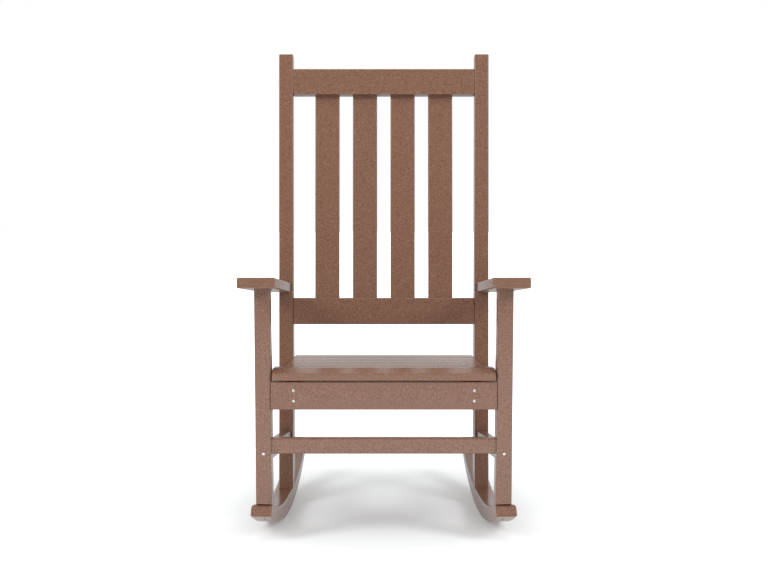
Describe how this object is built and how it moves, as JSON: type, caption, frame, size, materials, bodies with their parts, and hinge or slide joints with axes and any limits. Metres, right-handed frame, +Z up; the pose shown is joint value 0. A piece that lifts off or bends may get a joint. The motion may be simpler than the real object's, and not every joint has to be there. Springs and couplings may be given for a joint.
{
  "type": "outdoor rocking chair",
  "caption": "High-backed outdoor rocking chair of solid plastic lumber boards, with flat armrests, a slatted seat and back, and curved rockers.",
  "frame": {"origin": "on the floor under the middle of the chair's length and width, where the chair stands at rest on its rockers", "axes": "+Z up, -Y towards the front of the seat, +X to the right when looking along +Y at the front of the chair"},
  "size_m": [0.6846, 0.836, 1.2198],
  "materials": {
    "lumber": "brown solid plastic lumber, fine mottled and brushed surface with a low sheen",
    "screw_steel": "bright stainless steel"
  },
  "bodies": {
    "root": {"left_rear_post": "lumber", "left_front_leg": "lumber", "left_rocker": "lumber", "left_armrest": "lumber", "left_seat_side_rail": "lumber", "left_side_stretcher": "lumber", "right_rear_post": "lumber", "right_front_leg": "lumber", "right_rocker": "lumber", "right_armrest": "lumber", "right_seat_side_rail": "lumber", "right_side_stretcher": "lumber", "top_back_rail": "lumber", "lower_back_rail": "lumber", "back_slat_1": "lumber", "back_slat_2": "lumber", "back_slat_3": "lumber", "back_slat_4": "lumber", "seat_slat_1": "lumber", "seat_slat_2": "lumber", "seat_slat_3": "lumber", "seat_slat_4": "lumber", "seat_slat_5": "lumber", "front_apron": "lumber", "rear_seat_rail": "lumber", "front_stretcher": "lumber", "apron_screws": "screw_steel", "apron_end_screws": "screw_steel", "front_stretcher_screws": "screw_steel", "side_stretcher_front_screws": "screw_steel", "side_stretcher_rear_screws": "screw_steel", "back_rail_screws": "screw_steel", "rear_seat_rail_screws": "screw_steel", "seat_side_rail_screws": "screw_steel", "seat_slat_screws": "screw_steel", "rocker_screws": "screw_steel", "arm_front_screws": "screw_steel", "arm_rear_screws": "screw_steel"}
  },
  "joints": []
}
